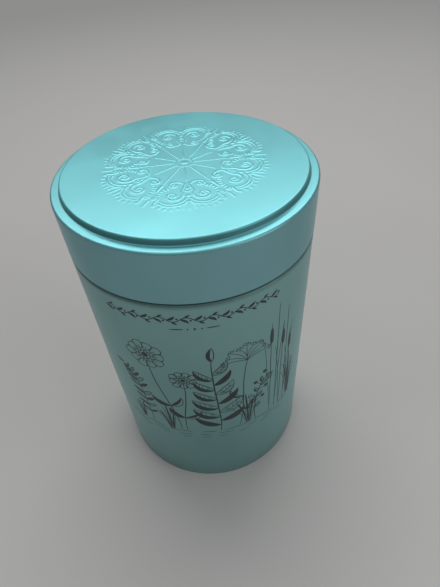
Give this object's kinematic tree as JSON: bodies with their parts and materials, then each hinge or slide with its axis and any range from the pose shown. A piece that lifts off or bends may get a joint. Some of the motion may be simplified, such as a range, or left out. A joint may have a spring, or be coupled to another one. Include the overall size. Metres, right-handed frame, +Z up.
{
  "type": "round slip-lid tin",
  "caption": "Tall round tinplate drum with a deep slip-on lid, raised lid panel, necked mouth and recessed base, for biscuits, tea or keepsakes.",
  "frame": {"origin": "centre of the ring the tin stands on, in the plane of the surface it stands on", "axes": "+Z up along the tin's axis, -Y towards the front of the printed side, the side lap is at +Y"},
  "size_m": [0.1, 0.1, 0.1614],
  "materials": {
    "mint_enamel": "satin lithographed enamel on tinplate",
    "plain_tinplate": "lacquered bare tinplate",
    "print_ink": "thin dark line print, satin"
  },
  "bodies": {
    "tin_body": {"body_wall": "mint_enamel", "base_plate": "plain_tinplate"},
    "lid_body": {"lid": "mint_enamel"}
  },
  "joints": [
    {"name": "lid_lift", "type": "slide", "parent": "tin_body", "child": "lid_body", "axis": [0, 0, 1], "range_m": [0, 0.06]}
  ]
}
